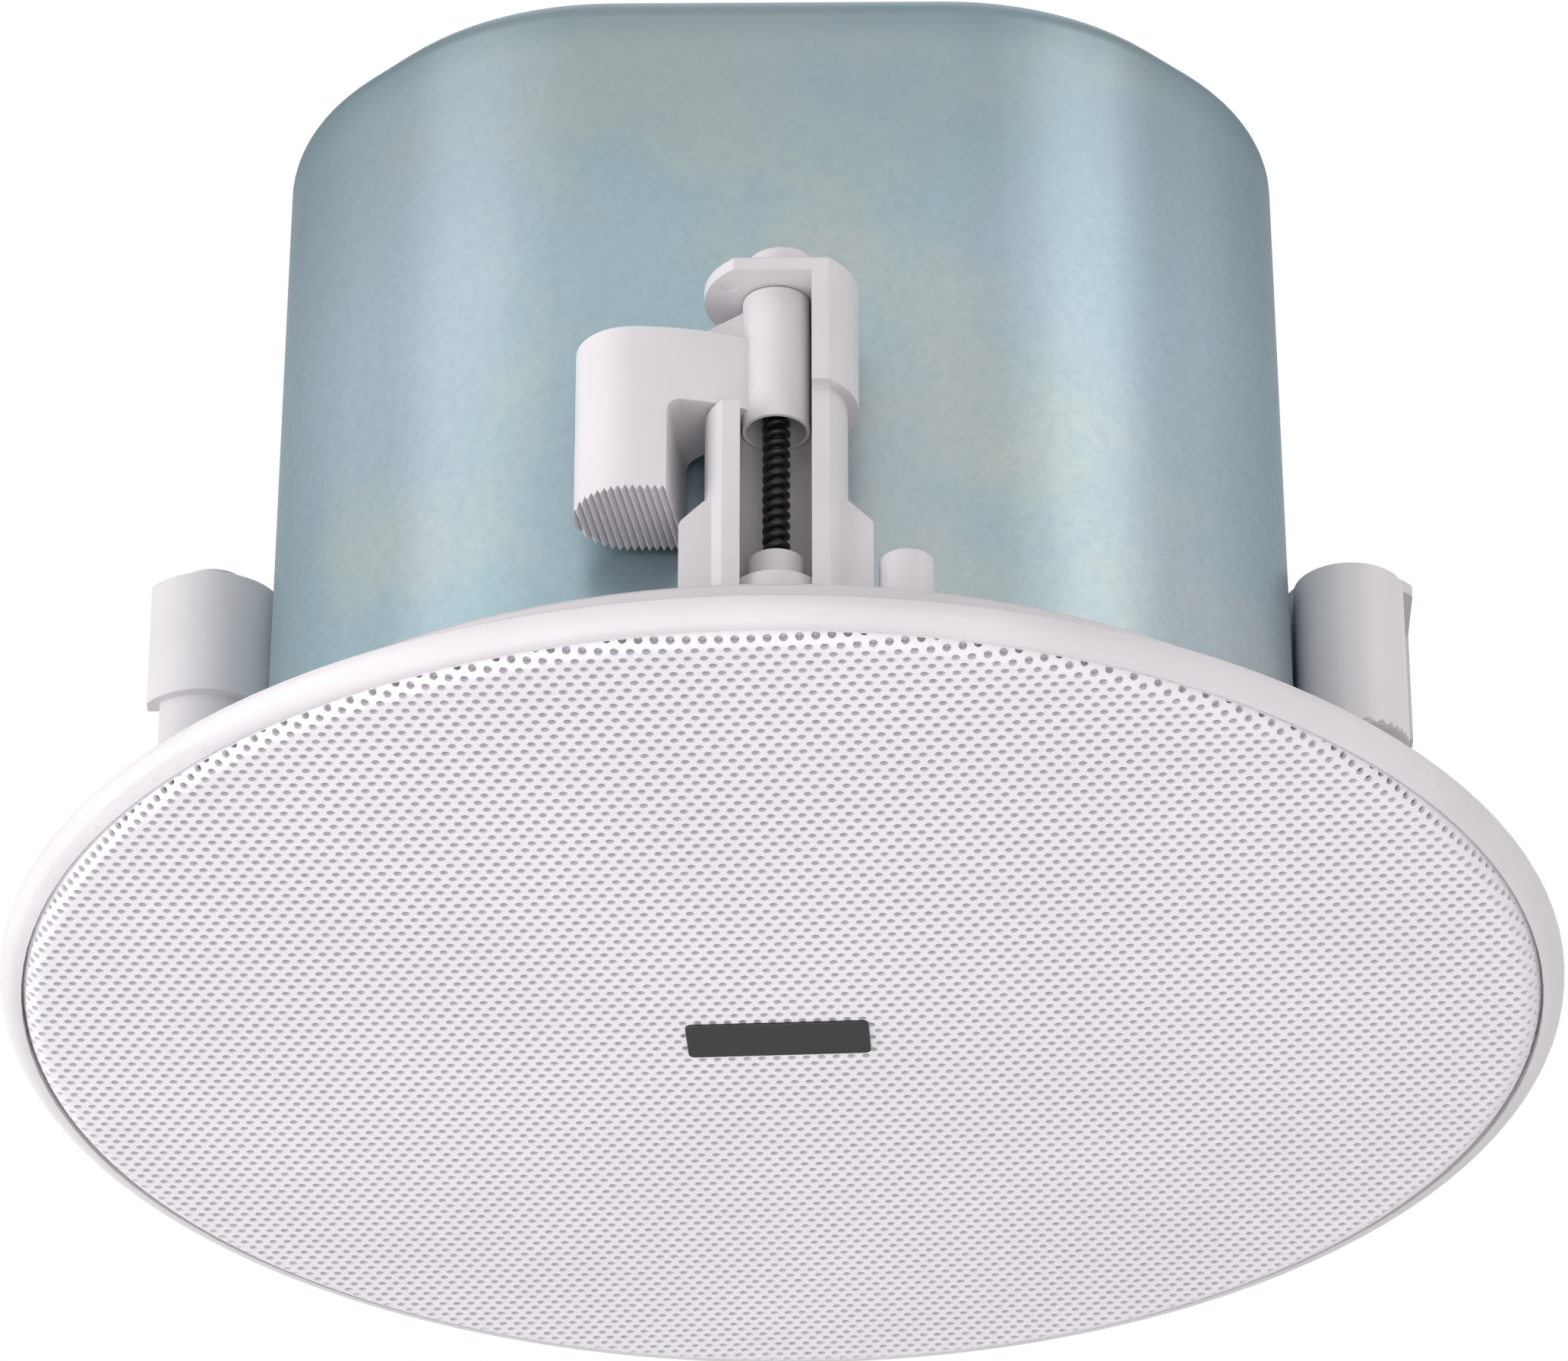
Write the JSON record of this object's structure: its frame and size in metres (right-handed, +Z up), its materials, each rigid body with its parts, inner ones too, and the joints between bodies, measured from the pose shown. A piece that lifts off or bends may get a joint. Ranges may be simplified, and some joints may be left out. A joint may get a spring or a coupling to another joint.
{
  "type": "in-ceiling loudspeaker",
  "caption": "Round flush-mount in-ceiling loudspeaker with a perforated grille, swing-out clamp arms on towers and an eight-sided steel back can.",
  "frame": {"origin": "on the speaker's axis in the plane of the bezel's back face, where the ceiling's underside bears", "axes": "+Z up into the ceiling void along the speaker's axis, -Z towards the room, -Y through the first clamp tower"},
  "size_m": [0.23, 0.23, 0.1572],
  "materials": {
    "white_moulding": "matte",
    "clamp_moulding": "satin",
    "white_grille": "matte powder coat",
    "acoustic_cloth": "matte",
    "zinc_sheet": "passivated zinc, satin",
    "foam": "matte",
    "wadding": "matte",
    "black_screw": "black oxide",
    "zinc_screw": "zinc plated",
    "black_sheet": "satin",
    "cone_poly": "matte",
    "roll_rubber": "matte",
    "spider_cloth": "matte",
    "copper": "enamelled",
    "ferrite": "matte",
    "plain_steel": "satin",
    "black_plastic": "matte",
    "dome_fabric": "matte",
    "board": "satin",
    "capacitor_film": "gloss",
    "cement": "matte",
    "wire": "satin",
    "gland_nylon": "satin"
  },
  "bodies": {
    "housing": {"baffle_frame": "white_moulding", "grille": "white_grille", "grille_cloth": "acoustic_cloth", "back_can": "zinc_sheet", "can_gasket": "foam", "can_screws": "zinc_screw", "damping_pad": "wadding", "woofer_basket": "black_sheet", "woofer_gasket": "foam", "woofer_screws": "black_screw", "surround": "roll_rubber", "spider": "spider_cloth", "top_plate": "plain_steel", "magnet": "ferrite", "yoke": "plain_steel", "lead_tags": "board", "woofer_leads": "wire", "tweeter_post": "plain_steel", "post_nut": "zinc_screw", "tweeter_cup": "black_plastic", "tweeter_motor": "plain_steel", "tweeter_face_ring": "black_plastic", "tweeter_leads": "wire", "crossover_board": "board", "board_standoffs": "black_plastic", "board_screws": "zinc_screw", "crossover_coil": "copper", "crossover_capacitor": "capacitor_film", "crossover_resistor": "cement", "terminal_block": "black_plastic", "terminal_cover": "zinc_sheet", "cover_screws": "zinc_screw", "cable_gland": "gland_nylon", "gland_nut": "gland_nylon", "tether_bracket": "zinc_sheet", "tether_rivets": "plain_steel"},
    "cone": {"cone": "cone_poly", "voice_coil": "copper"},
    "dome": {"tweeter_dome": "dome_fabric"},
    "arm_front": {"clamp_arm_front": "clamp_moulding"},
    "screw_front": {"clamp_screw_front": "black_screw"},
    "arm_right": {"clamp_arm_right": "clamp_moulding"},
    "screw_right": {"clamp_screw_right": "black_screw"},
    "arm_back": {"clamp_arm_back": "clamp_moulding"},
    "screw_back": {"clamp_screw_back": "black_screw"},
    "arm_left": {"clamp_arm_left": "clamp_moulding"},
    "screw_left": {"clamp_screw_left": "black_screw"}
  },
  "joints": [
    {"name": "arm_front_swing", "type": "hinge", "parent": "housing", "child": "arm_front", "pos_m": [0, -0.0866, 0.055], "axis": [0, 0, 1], "range_deg": [0, 90]},
    {"name": "screw_front_turn", "type": "hinge", "parent": "housing", "child": "screw_front", "pos_m": [0, -0.0866, 0.055], "axis": [0, 0, 1], "continuous": true},
    {"name": "arm_right_swing", "type": "hinge", "parent": "housing", "child": "arm_right", "pos_m": [0.0866, 0, 0.055], "axis": [0, 0, 1], "range_deg": [0, 90]},
    {"name": "screw_right_turn", "type": "hinge", "parent": "housing", "child": "screw_right", "pos_m": [0.0866, 0, 0.055], "axis": [0, 0, 1], "continuous": true},
    {"name": "arm_back_swing", "type": "hinge", "parent": "housing", "child": "arm_back", "pos_m": [0, 0.0866, 0.055], "axis": [0, 0, 1], "range_deg": [0, 90]},
    {"name": "screw_back_turn", "type": "hinge", "parent": "housing", "child": "screw_back", "pos_m": [0, 0.0866, 0.055], "axis": [0, 0, 1], "continuous": true},
    {"name": "arm_left_swing", "type": "hinge", "parent": "housing", "child": "arm_left", "pos_m": [-0.0866, 0, 0.055], "axis": [0, 0, 1], "range_deg": [0, 90]},
    {"name": "screw_left_turn", "type": "hinge", "parent": "housing", "child": "screw_left", "pos_m": [-0.0866, 0, 0.055], "axis": [0, 0, 1], "continuous": true},
    {"name": "cone_travel", "type": "slide", "parent": "housing", "child": "cone", "axis": [0, 0, 1], "range_m": [-0.003, 0.003], "stiffness_N_per_m": 1500, "deforming": ["surround", "spider"]},
    {"name": "dome_travel", "type": "slide", "parent": "housing", "child": "dome", "axis": [0, 0, 1], "range_m": [-0.0003, 0.0003], "stiffness_N_per_m": 1000}
  ]
}
